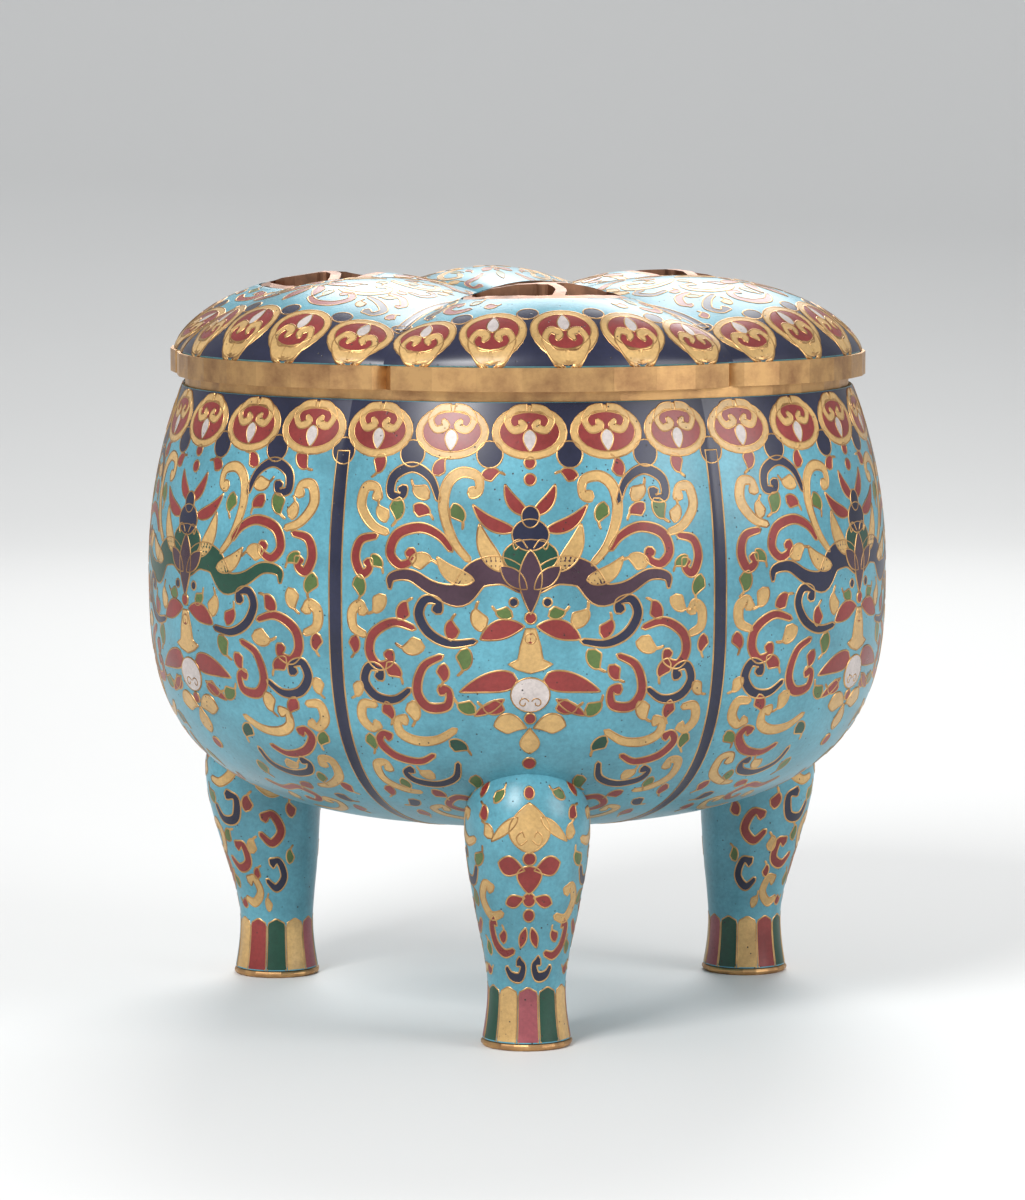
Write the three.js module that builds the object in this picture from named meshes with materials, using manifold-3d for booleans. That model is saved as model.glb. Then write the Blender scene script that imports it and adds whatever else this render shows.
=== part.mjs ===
// A cloisonne incense burner: a bowl of six lobes on three hollow legs, under a lobed lid with three
// pierced openings. Millimetres, +Z up. The origin is on the table under the middle of the bowl, and the
// front leg stands towards -Y. The lid rests on the bowl's mouth ring by its own weight and lifts off.
import * as THREE from "three";
import { mergeVertices } from "three/addons/utils/BufferGeometryUtils.js";
import Module from "manifold-3d";

const wasm = await Module();
wasm.setup();

// Driving dimensions
const LOBES = 6;
const SEAT_GAP = 0.3; // braze or solder between two curved pieces
const WALL = 2.4; // copper and enamel together

const BELLY_RADIUS = 66.8; // on a lobe's crest, at the widest height
const BELLY_HEIGHT = 78;
const BELLY_DROP = 45; // from the widest height down to the underside
const BELLY_SQUARENESS = 3; // 2 is an ellipse, more is a fuller curve
const SHOULDER_REACH = 75; // how high the shoulder's ellipse would close
const BOWL_TOP = 109.9;
const LOBE_DEPTH = 2.4; // how far a groove lies inside the crests, at the belly

const MOUTH_RING_HEIGHT = 1.8;
const MOUTH_RING_INSET = 0.5;
const MOUTH_LIP = 7.46; // from the outside of the bowl in to the mouth's round bore

const LEG_CIRCLE = 49.6; // the middle of a foot from the bowl's axis
const LEG_LEAN = 2.6; // how far the knee lies outside the foot
const LEG_WALL = 2;
const KNEE_RADIUS = 10.6;
const KNEE_RISE = 4; // from the bowl's underside up to the widest place of the knee
const KNEE_REACH = 17; // and up to where a whole knee would close
const ANKLE_RADIUS = 6.65;
const ANKLE_HEIGHT = 10.5;
const FOOT_RADIUS = 7.5;
const SOLE_THICKNESS = 1.3;
const SOLE_RADIUS = 7.8;

const LID_TURN = THREE.MathUtils.degToRad(6); // the lid is round where it fits, and sits a little turned
const RIM_OVERHANG = 2.05; // how far the rim stands out past the bowl's top edge
const RIM_HEIGHT = 4;
const RIM_LOBE_DEPTH = 2.5;
const NOTCH_DEPTH = 1.7;
const NOTCH_HALF_ANGLE = THREE.MathUtils.degToRad(1.6);
const FLANGE_CLEARANCE = 0.6;
const FLANGE_WALL = 1.6;
const FLANGE_DEPTH = 5.2;
const DOME_INSET = 0.7; // the dome starts this far inside the rim band's face
const DOME_CREST = 14.8;
const DOME_GROOVE = 9.4;
const DOME_CENTRE = 7.3;

const OPENING_CIRCLE_SHARE = 0.59; // the middle of an opening, of the way from the lid's axis to its edge
const OPENING_HALF_WIDTH = 14.3;
const OPENING_HALF_DEPTH = 11.4;
const GRILLE_RIM = 1.6;
const GRILLE_BAR = 1.9;

const STEPS_PER_LOBE = 8;
const AROUND = LOBES * STEPS_PER_LOBE;
const LEG_STEPS = 20;
const HALF_LOBE = Math.PI / LOBES;

const bowlBase = BELLY_HEIGHT - BELLY_DROP;
const kneeHeight = bowlBase + KNEE_RISE;
const kneeTop = bowlBase + KNEE_REACH;
const mouthRadius = BELLY_RADIUS * Math.sqrt(1 - ((BOWL_TOP - BELLY_HEIGHT) / SHOULDER_REACH) ** 2);
const mouthBore = mouthRadius - MOUTH_LIP;
const rimRadius = mouthRadius + RIM_OVERHANG;
const lidBase = BOWL_TOP + MOUTH_RING_HEIGHT;
const domeBase = lidBase + RIM_HEIGHT;
const domeRadius = rimRadius - DOME_INSET;
const flangeRadius = mouthBore - FLANGE_CLEARANCE;
const openingCircle = OPENING_CIRCLE_SHARE * domeRadius;

const ENAMEL = { color: 0x5fb2c9, roughness: 0.28, metalness: 0 };
const GILT = { color: 0xb0834a, roughness: 0.38, metalness: 1 };
const COPPER = { color: 0x8a5d45, roughness: 0.45, metalness: 1 };

// The outline of a foil: each lobe is an arc, and two arcs meet in a crease halfway between their crests.
function foil(crest, groove, angle) {
  const fromCrest = angle - Math.round(angle / (2 * HALF_LOBE)) * 2 * HALF_LOBE;
  const centre = (crest ** 2 - groove ** 2) / (2 * (crest - Math.cos(HALF_LOBE) * groove));
  const arc = crest - centre;
  return centre * Math.cos(fromCrest) + Math.sqrt(arc ** 2 - (centre * Math.sin(fromCrest)) ** 2);
}

// 1 on a lobe's crest and 0 in the groove beside it.
function crestShare(angle) {
  const fromCrest = angle / (2 * HALF_LOBE) - Math.round(angle / (2 * HALF_LOBE));
  return 1 - (2 * fromCrest) ** 2;
}

// Turns a profile about Z, then moves each vertex to the radius and height that reshape gives.
function turned(profile, steps, reshape = (r, z) => [r, z]) {
  const geometry = new THREE.LatheGeometry(profile, steps).rotateX(Math.PI / 2);
  const place = geometry.attributes.position;
  for (let i = 0; i < place.count; i++) {
    const [x, y] = [place.getX(i), place.getY(i)];
    const angle = Math.atan2(x, -y);
    const [r, z] = reshape(Math.hypot(x, y), place.getZ(i), angle);
    place.setXYZ(i, r * Math.sin(angle), -r * Math.cos(angle), z);
  }
  return geometry;
}

// A closed geometry as a solid that can be joined and cut.
function solid(geometry) {
  const bare = geometry.clone().deleteAttribute("normal").deleteAttribute("uv");
  const merged = mergeVertices(bare, 1e-4);
  const kept = [];
  const index = merged.index.array;
  for (let i = 0; i < index.length; i += 3) {
    const [a, b, c] = [index[i], index[i + 1], index[i + 2]];
    if (a !== b && b !== c && c !== a) kept.push(a, b, c);
  }
  const mesh = new wasm.Mesh({
    numProp: 3,
    vertProperties: merged.attributes.position.array,
    triVerts: new Uint32Array(kept),
  });
  return new wasm.Manifold(mesh);
}

function geometryOf(made) {
  const mesh = made.getMesh();
  const geometry = new THREE.BufferGeometry();
  geometry.setAttribute("position", new THREE.BufferAttribute(mesh.vertProperties, 3));
  return geometry.setIndex(new THREE.BufferAttribute(mesh.triVerts, 1));
}

const burner = new THREE.Group();
const lid = new THREE.Group();
lid.rotation.z = LID_TURN;
burner.add(lid);

function addPiece(name, geometry, material, parent = burner) {
  const mesh = new THREE.Mesh(geometry, new THREE.MeshStandardMaterial(material));
  mesh.name = name;
  parent.add(mesh);
}

// The bowl's outside or inside, from the middle of its underside up to its top edge.
function bowlCurve(inset) {
  const radius = BELLY_RADIUS - inset;
  const power = 2 / BELLY_SQUARENESS;
  const points = [];
  const lowerSteps = 11;
  for (let i = 0; i <= lowerSteps; i++) {
    const t = ((Math.PI / 2) * i) / lowerSteps;
    const drop = (BELLY_DROP - inset) * Math.cos(t) ** power;
    points.push(new THREE.Vector2(radius * Math.sin(t) ** power, BELLY_HEIGHT - drop));
  }
  const upperSteps = 5;
  for (let i = 1; i <= upperSteps; i++) {
    const rise = ((BOWL_TOP - BELLY_HEIGHT) * i) / upperSteps;
    const r = radius * Math.sqrt(1 - (rise / SHOULDER_REACH) ** 2);
    points.push(new THREE.Vector2(r, BELLY_HEIGHT + rise));
  }
  return points;
}

const grooveDepth = (r) => LOBE_DEPTH * (r / BELLY_RADIUS) ** 2;
const lobedBowl = (r, z, angle) => [foil(r, r - grooveDepth(r), angle), z];

function bowl() {
  return turned([...bowlCurve(0), ...bowlCurve(WALL).reverse()], AROUND, lobedBowl);
}

// The bowl with no hollow, a little larger all over: what a leg is cut by.
function bowlBlank() {
  const outside = bowlCurve(-SEAT_GAP);
  const closed = [...outside, new THREE.Vector2(0, BOWL_TOP)];
  return solid(turned(closed, AROUND, lobedBowl));
}

// A flat ring with a lobed outside, a round bore and its underside at the given height.
function lobedRing(outline, bore, height, base) {
  const shape = new THREE.Shape(outline);
  const hole = new THREE.Path();
  hole.absarc(0, 0, bore, 0, 2 * Math.PI, true);
  shape.holes.push(hole);
  const options = { depth: height, bevelEnabled: false, curveSegments: AROUND };
  return new THREE.ExtrudeGeometry(shape, options).translate(0, 0, base);
}

function polarOutline(radiusAt, angles) {
  return angles.map((a) => new THREE.Vector2(radiusAt(a) * Math.sin(a), -radiusAt(a) * Math.cos(a)));
}

function mouthRing() {
  const crest = mouthRadius - MOUTH_RING_INSET;
  const angles = Array.from({ length: AROUND }, (_, i) => (2 * Math.PI * i) / AROUND);
  const outline = polarOutline((a) => foil(crest, crest - grooveDepth(crest), a), angles);
  return lobedRing(outline, mouthBore, MOUTH_RING_HEIGHT, BOWL_TOP);
}

// The rim band's outline, with a sharp notch in each groove.
function rimBand() {
  const angles = [];
  for (let lobe = 0; lobe < LOBES; lobe++) {
    const start = (2 * lobe - 1) * HALF_LOBE;
    const span = 2 * (HALF_LOBE - NOTCH_HALF_ANGLE);
    angles.push(start);
    for (let i = 0; i <= STEPS_PER_LOBE; i++) {
      angles.push(start + NOTCH_HALF_ANGLE + (span * i) / STEPS_PER_LOBE);
    }
  }
  const inNotch = (a) => crestShare(a) < 1e-6;
  const radiusAt = (a) => foil(rimRadius, rimRadius - RIM_LOBE_DEPTH, a) - (inNotch(a) ? NOTCH_DEPTH : 0);
  return lobedRing(polarOutline(radiusAt, angles), flangeRadius - FLANGE_WALL, RIM_HEIGHT, lidBase);
}

// The collar under the lid that drops inside the mouth ring's bore.
function flange() {
  const [outside, inside] = [flangeRadius, flangeRadius - FLANGE_WALL];
  const low = lidBase - FLANGE_DEPTH;
  const corners = [[inside, low], [outside, low], [outside, lidBase], [inside, lidBase], [inside, low]];
  return turned(corners.map(([r, z]) => new THREE.Vector2(r, z)), AROUND);
}

// The dome's height over its base at a share of its radius, for a lobe's crest, a groove or between.
function domeHeight(share, top) {
  const edge = (1 - share ** 4) ** 0.65;
  return edge * (DOME_CENTRE + (1 - (1 - share) ** 3) * (top - DOME_CENTRE));
}

function domeBlank() {
  const shares = [1, 0.985, 0.95, 0.9, 0.82, 0.72, 0.6, 0.46, 0.32, 0.16, 0];
  const outside = shares.map((s) => [s * domeRadius, domeHeight(s, DOME_CREST)]);
  const insideRadius = domeRadius - WALL;
  const inside = shares.map((s) => [s * insideRadius, domeHeight(s, DOME_CREST) - WALL * (1 - s ** 8)]);
  const profile = [...inside.reverse(), ...outside].map(([r, h]) => new THREE.Vector2(r, h));
  const reshape = (r, height, angle) => {
    const share = Math.min(r / domeRadius, 0.999);
    const top = DOME_GROOVE + (DOME_CREST - DOME_GROOVE) * crestShare(angle);
    const fallen = domeHeight(share, DOME_CREST) - domeHeight(share, top);
    const depth = RIM_LOBE_DEPTH * (r / domeRadius);
    return [foil(r, r - depth, angle), domeBase + Math.max(height - fallen * Math.sign(height), 0)];
  };
  return solid(turned(profile, AROUND, reshape));
}

function ovalShape(grow) {
  const shape = new THREE.Shape();
  shape.absellipse(0, 0, OPENING_HALF_WIDTH + grow, OPENING_HALF_DEPTH + grow, 0, 2 * Math.PI);
  return shape;
}

// A shape in the plane of the openings, made into a post through the dome.
function post(shape, turn) {
  const options = { depth: DOME_CREST + 2 * RIM_HEIGHT, bevelEnabled: false, curveSegments: 12 };
  const geometry = new THREE.ExtrudeGeometry(shape, options);
  geometry.translate(0, -openingCircle, domeBase - RIM_HEIGHT).rotateZ(turn);
  return solid(geometry);
}

// A bar of even width along a bent line, from the middle of the opening out into its rim.
function barShape(end, bend) {
  const line = new THREE.QuadraticBezierCurve(new THREE.Vector2(0, 0), bend, end);
  const steps = 6;
  const sides = [[], []];
  for (let i = 0; i <= steps; i++) {
    const [at, along] = [line.getPoint(i / steps), line.getTangent(i / steps)];
    const across = new THREE.Vector2(-along.y, along.x).multiplyScalar(GRILLE_BAR / 2);
    sides[0].push(at.clone().sub(across));
    sides[1].unshift(at.clone().add(across));
  }
  return new THREE.Shape([...sides[0], ...sides[1]]);
}

// Three bent bars that meet in the middle of an opening and leave three gaps for the smoke.
function grillePost(turn) {
  const reach = 0.97;
  const rim = ovalShape(0);
  rim.holes.push(ovalShape(-GRILLE_RIM));
  let made = post(rim, turn);
  for (const spoke of [-Math.PI / 2, Math.PI / 6, (5 * Math.PI) / 6]) {
    const at = (share, angle) =>
      new THREE.Vector2(
        share * OPENING_HALF_WIDTH * Math.cos(angle),
        share * OPENING_HALF_DEPTH * Math.sin(angle),
      );
    made = made.add(post(barShape(at(reach, spoke), at(reach / 2, spoke + HALF_LOBE)), turn));
  }
  const hub = new THREE.Shape();
  hub.absarc(0, 0, GRILLE_BAR, 0, 2 * Math.PI);
  return made.add(post(hub, turn));
}

// A hollow leg in its own frame, its foot's middle at the origin, its knee leaning towards -Y.
function legBlank() {
  const outside = new THREE.SplineCurve([
    new THREE.Vector2(FOOT_RADIUS, SOLE_THICKNESS),
    new THREE.Vector2(ANKLE_RADIUS, 0.8 * ANKLE_HEIGHT),
    new THREE.Vector2(ANKLE_RADIUS + 0.3, 1.3 * ANKLE_HEIGHT),
    new THREE.Vector2((ANKLE_RADIUS + KNEE_RADIUS) / 2, (ANKLE_HEIGHT + kneeHeight) / 2),
    new THREE.Vector2(KNEE_RADIUS, kneeHeight),
    new THREE.Vector2(0.78 * KNEE_RADIUS, (kneeHeight + 2 * kneeTop) / 3),
    new THREE.Vector2(0.4 * KNEE_RADIUS, kneeTop - 0.7),
  ]).getPoints(10);
  const top = new THREE.Vector2(0, kneeTop);
  const inside = outside.map((p) => new THREE.Vector2(Math.max(p.x - LEG_WALL, 0.5), p.y)).slice(0, -2);
  const core = new THREE.Vector2(0, inside.at(-1).y);
  const lean = (z) => LEG_LEAN * THREE.MathUtils.smoothstep(z, ANKLE_HEIGHT, kneeHeight);
  const geometry = turned([...inside, core].reverse().concat(outside, top), LEG_STEPS);
  const place = geometry.attributes.position;
  for (let i = 0; i < place.count; i++) place.setY(i, place.getY(i) - lean(place.getZ(i)));
  return geometry.translate(0, -LEG_CIRCLE, 0);
}

// The gilt plate that closes a leg's foot, with a small round edge.
function sole() {
  const edge = new THREE.Path();
  const half = SOLE_THICKNESS / 2;
  edge.moveTo(0, 0);
  edge.lineTo(SOLE_RADIUS - half, 0);
  edge.absarc(SOLE_RADIUS - half, half, half, -Math.PI / 2, Math.PI / 2);
  edge.lineTo(0, SOLE_THICKNESS);
  return turned(edge.getPoints(4), LEG_STEPS).translate(0, -LEG_CIRCLE, 0);
}

addPiece("bowl", bowl(), ENAMEL);
addPiece("mouth_ring", mouthRing(), GILT);

const cutter = bowlBlank();
const legs = { front: 0, rear_right: (2 * Math.PI) / 3, rear_left: (-2 * Math.PI) / 3 };
for (const [side, turn] of Object.entries(legs)) {
  const leg = solid(legBlank().rotateZ(turn)).subtract(cutter);
  addPiece(`leg_${side}`, geometryOf(leg), ENAMEL);
  addPiece(`sole_${side}`, sole().rotateZ(turn), GILT);
}

addPiece("lid_rim_band", rimBand(), GILT, lid);
addPiece("lid_flange", flange(), GILT, lid);

const dome = domeBlank();
let pierced = dome;
for (const [side, turn] of Object.entries(legs)) {
  pierced = pierced.subtract(post(ovalShape(SEAT_GAP), turn));
  addPiece(`grille_${side}`, geometryOf(dome.intersect(grillePost(turn))), COPPER, lid);
}
addPiece("lid_dome", geometryOf(pierced), ENAMEL, lid);

export default burner;
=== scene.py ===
"""Dresses the lobed enamel incense burner: polished cloisonne over the bowl, legs and lid, worn gilding
on the rings, and a studio with a camera at the photograph's angle. Metres in Blender; the drawing of the
enamel is in millimetres on each surface and is mapped onto it."""

import math
import random

import bmesh
import bpy
import numpy as np
from mathutils import Matrix, Vector


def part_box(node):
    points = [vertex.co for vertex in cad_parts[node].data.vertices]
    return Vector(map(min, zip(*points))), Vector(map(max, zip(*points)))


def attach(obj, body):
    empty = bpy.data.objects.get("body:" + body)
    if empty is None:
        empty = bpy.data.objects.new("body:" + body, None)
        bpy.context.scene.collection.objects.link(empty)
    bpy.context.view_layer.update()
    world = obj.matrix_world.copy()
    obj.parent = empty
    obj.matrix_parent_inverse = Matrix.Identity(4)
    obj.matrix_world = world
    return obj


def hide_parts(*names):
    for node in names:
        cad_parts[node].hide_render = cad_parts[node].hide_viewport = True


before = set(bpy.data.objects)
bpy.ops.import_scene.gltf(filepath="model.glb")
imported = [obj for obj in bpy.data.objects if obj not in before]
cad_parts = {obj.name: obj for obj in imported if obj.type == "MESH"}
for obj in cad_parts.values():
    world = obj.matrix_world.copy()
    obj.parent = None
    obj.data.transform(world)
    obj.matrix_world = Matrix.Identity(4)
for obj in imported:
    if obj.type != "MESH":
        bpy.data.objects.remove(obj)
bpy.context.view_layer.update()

MM = 0.001
LOBES = 6
HALF_LOBE = math.pi / LOBES

# Sizes of the frame, in millimetres
BOWL_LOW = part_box("bowl")[0].z / MM
BOWL_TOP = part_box("bowl")[1].z / MM
BELLY_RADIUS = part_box("bowl")[1].y / MM
BELLY_HEIGHT = 78
BELLY_SQUARENESS = 3
SHOULDER_REACH = 75
WALL = 2.4
LOBE_DEPTH = 2.4
RIM_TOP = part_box("lid_rim_band")[1].z / MM
DOME_RADIUS = 61.8
DOME_DEPTH = 2.5
DOME_CREST = 14.8
DOME_GROOVE = 9.4
DOME_CENTRE = 7.3
LID_TURN = math.radians(6)
LEG_CIRCLE = 49.6
LEG_LEAN = 2.6
KNEE_RADIUS = 10.6
ANKLE_HEIGHT = 10.5
KNEE_RISE = 26.5
SOLE_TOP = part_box("sole_front")[1].z / MM
OPENING_CIRCLE = 36.5
OPENING_WIDE = 14.3
OPENING_DEEP = 11.4
OPENING_GAP = 0.3

# The colours of the enamels, linear
COLOURS = {
    "turquoise": (0.115, 0.37, 0.46),
    "red": (0.27, 0.028, 0.024),
    "yellow": (0.66, 0.41, 0.15),
    "navy": (0.012, 0.014, 0.045),
    "green": (0.095, 0.16, 0.035),
    "dark_green": (0.006, 0.065, 0.035),
    "purple": (0.065, 0.026, 0.045),
    "white": (0.62, 0.55, 0.52),
    "pink": (0.36, 0.085, 0.10),
}
PIT_COLOUR = (0.02, 0.015, 0.012, 1)


def feed(tree, socket, value):
    """Links an output to the socket, or sets the socket to a number or a colour."""
    if isinstance(value, bpy.types.NodeSocket):
        tree.links.new(value, socket)
    else:
        socket.default_value = value


def node(tree, kind, **inputs):
    """A new shader node with its inputs fed. An underscore in a name stands for a space."""
    made = tree.nodes.new(kind)
    for name, value in inputs.items():
        feed(tree, made.inputs[name.replace("_", " ")], value)
    return made


def noise(tree, place, scale, detail, roughness):
    made = node(tree, "ShaderNodeTexNoise", Vector=place, Scale=scale, Detail=detail, Roughness=roughness)
    return made.outputs["Fac"]


def ramp(tree, value, low, dark, high, light):
    """A colour that goes from dark at low to light at high."""
    made = node(tree, "ShaderNodeValToRGB", Fac=value)
    first, last = made.color_ramp.elements
    first.position = low
    first.color = (*dark, 1)
    last.position = high
    last.color = (*light, 1)
    return made.outputs["Color"]


def remap(tree, value, **ends):
    return node(tree, "ShaderNodeMapRange", Value=value, **ends).outputs["Result"]


def mix(tree, blend, factor, first, second):
    made = tree.nodes.new("ShaderNodeMix")
    made.data_type = "RGBA"
    made.blend_type = blend
    feed(tree, made.inputs["Factor"], factor)
    feed(tree, made.inputs[6], first)
    feed(tree, made.inputs[7], second)
    return made.outputs[2]


def new_material(name):
    material = bpy.data.materials.new(name)
    material.use_nodes = True
    tree = material.node_tree
    return material, tree, tree.nodes["Principled BSDF"]


def enamel(name, colour):
    """Polished enamel: a clouded colour with fine dark pits and a slightly uneven gloss."""
    material, tree, shader = new_material(name)
    place = tree.nodes.new("ShaderNodeTexCoord").outputs["Object"]
    cloud = noise(tree, place, 95.0, 5.0, 0.6)
    grain = noise(tree, place, 1500.0, 2.0, 0.7)
    patches = noise(tree, place, 330.0, 1.0, 0.5)
    cells = node(tree, "ShaderNodeTexVoronoi", Vector=place, Scale=900.0, Randomness=1.0)
    dark = [c * 0.78 for c in colour]
    light = [min(1, c * 1.18 + 0.006) for c in colour]
    tint = mix(tree, "MULTIPLY", 0.45, ramp(tree, cloud, 0.34, dark, 0.68, light), grain)
    outside_pits = node(tree, "ShaderNodeMath")
    outside_pits.operation = "MAXIMUM"
    feed(tree, outside_pits.inputs[0], remap(tree, cells.outputs["Distance"], From_Min=0.10, From_Max=0.17))
    feed(tree, outside_pits.inputs[1], remap(tree, patches, From_Min=0.60, From_Max=0.53))
    clear = outside_pits.outputs["Value"]
    feed(tree, shader.inputs["Base Color"], mix(tree, "MIX", clear, PIT_COLOUR, tint))
    feed(tree, shader.inputs["Roughness"], remap(tree, cloud, To_Min=0.20, To_Max=0.44))
    bump = node(tree, "ShaderNodeBump", Height=clear, Strength=0.35, Distance=0.00008)
    feed(tree, shader.inputs["Normal"], bump.outputs["Normal"])
    return material


def metal(name, colour, worn, rough, brushed=0.0):
    """Worn gilding or copper: two tones in patches, and fine level scratches where it is brushed."""
    material, tree, shader = new_material(name)
    shader.inputs["Metallic"].default_value = 1.0
    place = tree.nodes.new("ShaderNodeTexCoord").outputs["Object"]
    stretched = node(tree, "ShaderNodeMapping", Vector=place, Scale=(1, 1, 1 + 14 * brushed))
    patches = noise(tree, place, 160.0, 6.0, 0.65)
    scratches = noise(tree, stretched.outputs["Vector"], 420.0, 4.0, 0.7)
    feed(tree, shader.inputs["Base Color"], ramp(tree, patches, 0.33, worn, 0.6, colour))
    gloss = remap(tree, scratches, To_Min=rough - 0.1, To_Max=rough + 0.15)
    feed(tree, shader.inputs["Roughness"], gloss)
    bump = node(tree, "ShaderNodeBump", Height=scratches, Strength=0.3, Distance=0.00006)
    feed(tree, shader.inputs["Normal"], bump.outputs["Normal"])
    return material


ENAMELS = {name: enamel(f"enamel_{name}", colour) for name, colour in COLOURS.items()}
WIRE = metal("gilt_wire", (0.62, 0.37, 0.15), (0.30, 0.16, 0.07), 0.36)
GILT = metal("worn_gilding", (0.62, 0.37, 0.16), (0.36, 0.19, 0.09), 0.38, brushed=1.0)
COPPER = metal("bare_copper", (0.34, 0.17, 0.10), (0.16, 0.09, 0.06), 0.42)
INSIDE = metal("dull_inside", (0.20, 0.19, 0.12), (0.05, 0.045, 0.03), 0.6)
PALETTE = list(COLOURS) + ["wire"]


def foil(crest, groove, angle):
    """The radius of a lobed outline: an arc to each lobe, meeting in a crease."""
    from_crest = angle - np.round(angle / (2 * HALF_LOBE)) * 2 * HALF_LOBE
    centre = (crest**2 - groove**2) / np.maximum(2 * (crest - math.cos(HALF_LOBE) * groove), 1e-9)
    return centre * np.cos(from_crest) + np.sqrt((crest - centre) ** 2 - (centre * np.sin(from_crest)) ** 2)


def crest_share(angle):
    """1 on a lobe's crest and 0 in the groove beside it."""
    from_crest = angle / (2 * HALF_LOBE) - np.round(angle / (2 * HALF_LOBE))
    return 1 - (2 * from_crest) ** 2


def around(angle, r, z):
    """A point at that radius and height. Angle 0 is towards -Y, where the front leg stands."""
    x, y, z = np.broadcast_arrays(r * np.sin(angle), -r * np.cos(angle), z)
    return np.stack([x, y, z], axis=-1)


def bowl_profile(inset=0.0, steps=160):
    """The bowl's crest line from its mouth down to the middle of its underside: arc length, r and z."""
    radius = BELLY_RADIUS - inset
    drop = BELLY_HEIGHT - BOWL_LOW - inset
    rise = np.linspace(BOWL_TOP - BELLY_HEIGHT, 0, steps // 3)
    t = np.linspace(math.pi / 2, 0, steps)[1:]
    power = 2 / BELLY_SQUARENESS
    r = np.concatenate([radius * np.sqrt(1 - (rise / SHOULDER_REACH) ** 2), radius * np.sin(t) ** power])
    z = np.concatenate([BELLY_HEIGHT + rise, BELLY_HEIGHT - drop * np.cos(t) ** power])
    s = np.concatenate([[0], np.cumsum(np.hypot(np.diff(r), np.diff(z)))])
    return s, r, z


BOWL_LINE = bowl_profile()


def on_bowl(angle, s, line=None):
    """A point of the bowl's outside, s millimetres down the surface from its mouth."""
    arc, r_line, z_line = BOWL_LINE if line is None else line
    r = np.interp(s, arc, r_line)
    z = np.interp(s, arc, z_line)
    depth = LOBE_DEPTH * (r / BELLY_RADIUS) ** 2
    return around(angle, foil(r, r - depth, angle), z)


def on_dome(angle, v, inset=0.0):
    """A point of the lid's dome, v millimetres in from its edge, before the lid's turn."""
    share = np.clip(1 - np.asarray(v, float) / DOME_RADIUS, 0, 1)
    top = DOME_GROOVE + (DOME_CREST - DOME_GROOVE) * crest_share(angle)
    edge = (1 - share**4) ** 0.65
    height = edge * (DOME_CENTRE + (1 - (1 - share) ** 3) * (top - DOME_CENTRE)) - inset * (1 - share**8)
    r = share * (DOME_RADIUS - inset)
    return around(angle + LID_TURN, foil(r, r - DOME_DEPTH * share, angle), RIM_TOP + height)


# A leg's outline: the heights along it, and its radius at each of them
LEG_HEIGHTS = np.array([SOLE_TOP, 4.5, 8.4, 11.0, 14.5, 20.0, 26.0, 32.0, 37.0, 41.0, 44.5, 47.0, 49.0, 50.0])
LEG_RADII = np.array([7.5, 7.0, 6.65, 6.65, 7.05, 8.1, 9.25, 10.2, 10.6, 10.35, 9.0, 7.2, 4.4, 0.4])


def smooth_interp(x, xs, ys):
    """A cubic curve through the points, so that a leg's outline has no corners."""
    slope = np.gradient(ys, xs)
    i = np.clip(np.searchsorted(xs, x) - 1, 0, len(xs) - 2)
    h = xs[i + 1] - xs[i]
    t = np.clip((x - xs[i]) / h, 0, 1)
    keep = (1 + 2 * t) * (1 - t) ** 2 * ys[i] + t * t * (3 - 2 * t) * ys[i + 1]
    return keep + h * (t * (1 - t) ** 2 * slope[i] + t * t * (t - 1) * slope[i + 1])


def on_leg(turn):
    """A leg's surface: angle round the leg's own axis, and height."""
    def place(angle, z):
        z = np.asarray(z, float)
        r = smooth_interp(z, LEG_HEIGHTS, LEG_RADII)
        t = np.clip((z - ANKLE_HEIGHT) / KNEE_RISE, 0, 1)
        lean = LEG_LEAN * t * t * (3 - 2 * t)
        x = r * np.sin(angle)
        y = -r * np.cos(angle) - LEG_CIRCLE - lean
        c = math.cos(turn)
        s = math.sin(turn)
        return np.stack([c * x - s * y, s * x + c * y, z + 0 * x], axis=-1)
    return place


def sideways(uv):
    """The unit direction across a line, at each of its points."""
    along = np.gradient(uv, axis=0)
    if np.allclose(uv[0], uv[-1]):
        along[0] = along[-1] = uv[1] - uv[-2]
    along /= np.maximum(np.linalg.norm(along, axis=1, keepdims=True), 1e-9)
    return np.stack([-along[:, 1], along[:, 0]], axis=1)


# How the enamel is drawn, in millimetres. A cell stands a hair off the surface, and each layer over it a
# little more, so that cells can lie on one another.
FILL_LIFT = 0.03
LAYER_LIFT = 0.012
WIRE_LIFT = 0.07
WIRE_WIDTH = 0.32
PROBE = 0.02
STEM_WIDTH = 1.75
LEAF_GROWTH = 1.2
POINT_WIDTH = 0.02


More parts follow.
